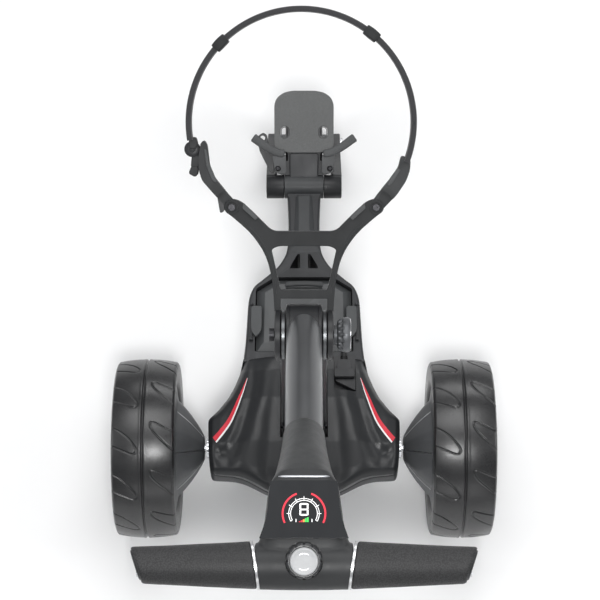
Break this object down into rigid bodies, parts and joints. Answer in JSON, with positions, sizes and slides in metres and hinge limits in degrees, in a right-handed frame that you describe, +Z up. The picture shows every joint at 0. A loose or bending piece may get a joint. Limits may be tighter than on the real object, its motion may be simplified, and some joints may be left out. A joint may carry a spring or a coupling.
{
  "type": "electric golf trolley",
  "caption": "Three-wheeled electric golf trolley with a folding upright, bag frame with strap loop, battery tray, folding front fork and a handle bar with a speed dial.",
  "frame": {"origin": "on the ground, in the middle of the trolley's length and width", "axes": "+Y forwards, from the user to the front wheel, +X to the user's right, +Z up"},
  "size_m": [0.584, 1.1196, 1.0005],
  "materials": {
    "chassis_frame": "moulded, fine grain",
    "housing_cover": "satin, sculpted",
    "stripe_red": "satin",
    "stripe_white": "satin",
    "battery_case": "fine grain",
    "battery_cells": "wrapped cells",
    "latch_pins": "turned",
    "motor_can": "zinc plated",
    "gearbox_case": "die cast",
    "axle_bearings": "pressed",
    "controller_board": "lacquered board",
    "fork_hinge_pin": "ground",
    "base_pad": "soft, fine grain",
    "base_wings": "soft",
    "base_screws": "plated",
    "strap_bracket": "moulded",
    "battery_lead": "jacket",
    "battery_plug": "moulded",
    "upright_pin": "ground",
    "latch_left": "fine grain",
    "latch_right": "fine grain",
    "motor_rotor": "ground",
    "drive_axle": "ground",
    "axle_gear": "machined",
    "tyre_left": "moulded",
    "rim_left": "moulded, grey",
    "tyre_right": "moulded",
    "rim_right": "moulded, grey",
    "button_left": "satin",
    "button_right": "satin",
    "front_fork": "moulded",
    "front_axle": "ground",
    "front_rim": "moulded, grey",
    "front_tyre": "moulded",
    "upright_tube": "satin powder coat",
    "joint_yoke": "satin",
    "joint_bolt": "plated",
    "clamp_knob": "satin",
    "hinge_hub": "machined",
    "tube_root": "moulded",
    "handle_tube": "satin metallic",
    "head_shell": "fine grain",
    "screen_glass": "hard coated",
    "display_board": "lacquered board",
    "chrome_trim": "bright",
    "bar_core": "drawn",
    "bar_rings": "satin",
    "grips": "textured",
    "dial_ring": "satin",
    "dial_cap": "satin",
    "bag_frame": "moulded",
    "bag_grips": "soft",
    "link_pins": "plated",
    "strap_ring": "woven webbing",
    "strap_end_left": "woven webbing",
    "strap_end_right": "woven webbing",
    "strap_collars": "moulded",
    "link_left": "moulded",
    "strap_hook": "moulded",
    "link_right": "moulded"
  },
  "bodies": {
    "chassis": {"chassis_frame": "chassis_frame", "housing_cover": "housing_cover", "stripe_red": "stripe_red", "stripe_white": "stripe_white", "battery_case": "battery_case", "battery_cells": "battery_cells", "latch_pins": "latch_pins", "motor_can": "motor_can", "gearbox_case": "gearbox_case", "axle_bearings": "axle_bearings", "controller_board": "controller_board", "fork_hinge_pin": "fork_hinge_pin", "base_pad": "base_pad", "base_wings": "base_wings", "base_screws": "base_screws", "strap_bracket": "strap_bracket", "battery_lead": "battery_lead", "battery_plug": "battery_plug", "upright_pin": "upright_pin"},
    "latch_left": {"latch_left": "latch_left"},
    "latch_right": {"latch_right": "latch_right"},
    "motor_rotor": {"motor_rotor": "motor_rotor"},
    "drive_axle": {"drive_axle": "drive_axle", "axle_gear": "axle_gear"},
    "wheel_left": {"tyre_left": "tyre_left", "rim_left": "rim_left"},
    "wheel_right": {"tyre_right": "tyre_right", "rim_right": "rim_right"},
    "button_left": {"button_left": "button_left"},
    "button_right": {"button_right": "button_right"},
    "fork": {"front_fork": "front_fork", "front_axle": "front_axle"},
    "front_wheel": {"front_rim": "front_rim", "front_tyre": "front_tyre"},
    "upright": {"upright_tube": "upright_tube", "joint_yoke": "joint_yoke", "joint_bolt": "joint_bolt"},
    "clamp_knob": {"clamp_knob": "clamp_knob"},
    "hub": {"hinge_hub": "hinge_hub"},
    "handle": {"tube_root": "tube_root", "handle_tube": "handle_tube", "head_shell": "head_shell", "screen_glass": "screen_glass", "display_board": "display_board", "chrome_trim": "chrome_trim", "bar_core": "bar_core", "bar_rings": "bar_rings", "grips": "grips"},
    "dial": {"dial_ring": "dial_ring"},
    "dial_button": {"dial_cap": "dial_cap"},
    "bag_frame": {"bag_frame": "bag_frame", "bag_grips": "bag_grips", "link_pins": "link_pins", "strap_ring": "strap_ring", "strap_end_left": "strap_end_left", "strap_end_right": "strap_end_right", "strap_collars": "strap_collars"},
    "link_left": {"link_left": "link_left", "strap_hook": "strap_hook"},
    "link_right": {"link_right": "link_right"}
  },
  "joints": [
    {"name": "upright_fold", "type": "hinge", "parent": "chassis", "child": "upright", "pos_m": [0, -0.094, 0.222], "axis": [1, 0, 0], "range_deg": [-80, 0]},
    {"name": "handle_fold", "type": "hinge", "parent": "upright", "child": "hub", "pos_m": [0, -0.126, 0.655], "axis": [1, 0, 0], "range_deg": [0, 96]},
    {"name": "bag_frame_fold", "type": "hinge", "parent": "upright", "child": "bag_frame", "pos_m": [0, -0.126, 0.655], "axis": [1, 0, 0], "range_deg": [0, 120]},
    {"name": "handle_height", "type": "hinge", "parent": "hub", "child": "handle", "pos_m": [0, -0.126, 0.655], "axis": [1, 0, 0], "range_deg": [-10, 10]},
    {"name": "clamp_knob_turn", "type": "hinge", "parent": "upright", "child": "clamp_knob", "pos_m": [0, -0.126, 0.655], "axis": [1, 0, 0], "range_deg": [-180, 180]},
    {"name": "dial_turn", "type": "hinge", "parent": "handle", "child": "dial", "pos_m": [0, -0.5226, 0.9626], "axis": [0, -0.4067, 0.9135], "continuous": true},
    {"name": "dial_press", "type": "slide", "parent": "dial", "child": "dial_button", "axis": [0, 0.4067, -0.9135], "range_m": [0, 0.002], "stiffness_N_per_m": 600, "springref_m": -0.001},
    {"name": "link_left_swing", "type": "hinge", "parent": "bag_frame", "child": "link_left", "pos_m": [-0.095, 0.02079, 0.73975], "axis": [0, -0.5, 0.866], "range_deg": [-10, 10], "deforming": ["strap_end_left"]},
    {"name": "link_right_swing", "type": "hinge", "parent": "bag_frame", "child": "link_right", "pos_m": [0.095, 0.02079, 0.73975], "axis": [0, -0.5, 0.866], "range_deg": [-10, 10], "deforming": ["strap_end_right"]},
    {"name": "fork_fold", "type": "hinge", "parent": "chassis", "child": "fork", "pos_m": [0, 0.32, 0.22], "axis": [1, 0, 0], "range_deg": [-85, 0]},
    {"name": "front_wheel_spin", "type": "hinge", "parent": "fork", "child": "front_wheel", "pos_m": [0, 0.47, 0.09], "axis": [1, 0, 0], "continuous": true},
    {"name": "wheel_left_spin", "type": "hinge", "parent": "chassis", "child": "wheel_left", "pos_m": [-0.2445, -0.102, 0.14], "axis": [1, 0, 0], "continuous": true},
    {"name": "wheel_right_spin", "type": "hinge", "parent": "chassis", "child": "wheel_right", "pos_m": [0.2445, -0.102, 0.14], "axis": [1, 0, 0], "continuous": true},
    {"name": "drive_axle_spin", "type": "hinge", "parent": "chassis", "child": "drive_axle", "pos_m": [0, -0.102, 0.14], "axis": [1, 0, 0], "continuous": true},
    {"name": "motor_spin", "type": "hinge", "parent": "chassis", "child": "motor_rotor", "pos_m": [0, -0.06303, 0.1625], "axis": [1, 0, 0], "continuous": true},
    {"name": "button_left_press", "type": "slide", "parent": "wheel_left", "child": "button_left", "axis": [1, 0, 0], "range_m": [0, 0.003], "stiffness_N_per_m": 500, "springref_m": -0.001},
    {"name": "button_right_press", "type": "slide", "parent": "wheel_right", "child": "button_right", "axis": [-1, 0, 0], "range_m": [0, 0.003], "stiffness_N_per_m": 500, "springref_m": -0.001},
    {"name": "latch_left_open", "type": "hinge", "parent": "chassis", "child": "latch_left", "pos_m": [-0.083, 0.083, 0.236], "axis": [0, -1, 0], "range_deg": [0, 60]},
    {"name": "latch_right_open", "type": "hinge", "parent": "chassis", "child": "latch_right", "pos_m": [0.083, 0.083, 0.236], "axis": [0, 1, 0], "range_deg": [0, 60]}
  ],
  "couplings": [
    {"joint": "handle_fold", "follows": "upright_fold", "ratio": -1.2},
    {"joint": "bag_frame_fold", "follows": "upright_fold", "ratio": -1.5},
    {"joint": "motor_spin", "follows": "drive_axle_spin", "ratio": -4}
  ]
}
